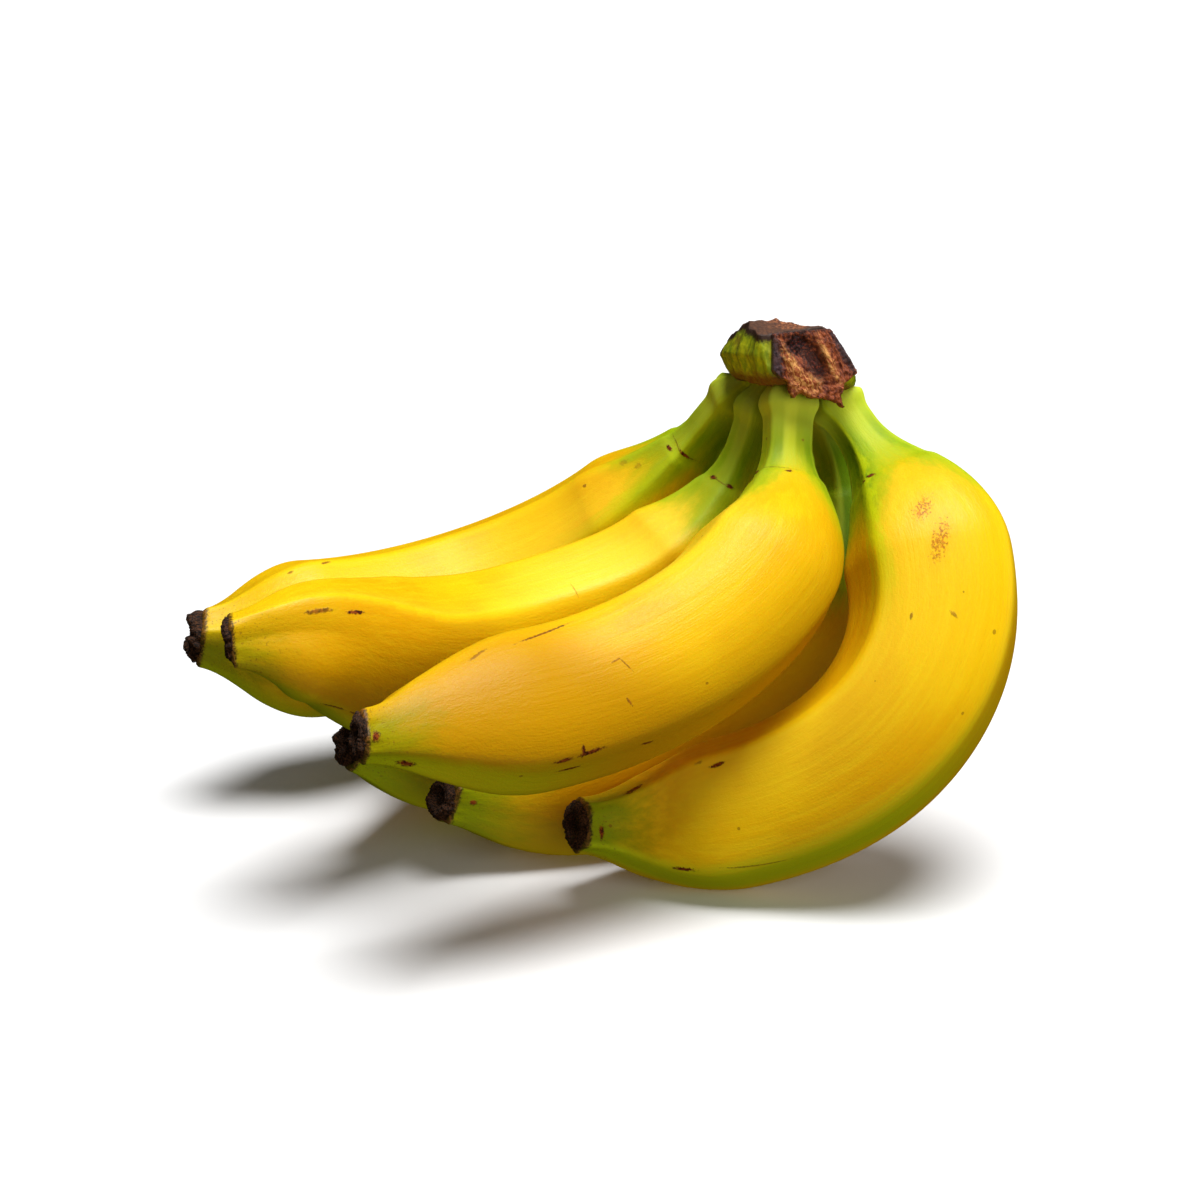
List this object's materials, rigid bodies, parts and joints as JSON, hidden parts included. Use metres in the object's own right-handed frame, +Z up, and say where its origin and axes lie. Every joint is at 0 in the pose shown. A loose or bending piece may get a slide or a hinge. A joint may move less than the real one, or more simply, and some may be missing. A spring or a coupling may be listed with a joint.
{
  "type": "bunch of bananas",
  "caption": "Hand of ripe bananas joined at a green crown with a dried brown cut face, curved bodies with soft ridges and dark dried blossom ends, lying on a table.",
  "frame": {"origin": "middle of the base of the bunch's box, on the plane it lies on", "axes": "+X to the right as pictured, from the blossom ends towards the right-hand banana's bend, +Y away from the viewer, +Z up through the crown"},
  "size_m": [0.1973, 0.1768, 0.1244],
  "materials": {
    "banana_skin": "waxy satin yellow skin, green at the neck and tip, with small brown marks",
    "crown_skin": "satin olive-green ribbed skin with brown cut edges",
    "dried_cut": "rough dried fibrous red-brown cut face",
    "blossom_end": "rough matt brown-black dried stub"
  },
  "bodies": {
    "root": {"crown": "crown_skin", "crown_cut_end": "dried_cut", "banana_far_left": "banana_skin", "banana_left": "banana_skin", "banana_front": "banana_skin", "banana_right": "banana_skin", "banana_under_left": "banana_skin", "banana_under_right": "banana_skin", "blossom_end_far_left": "blossom_end", "blossom_end_left": "blossom_end", "blossom_end_front": "blossom_end", "blossom_end_right": "blossom_end", "blossom_end_under_left": "blossom_end", "blossom_end_under_right": "blossom_end"}
  },
  "joints": []
}
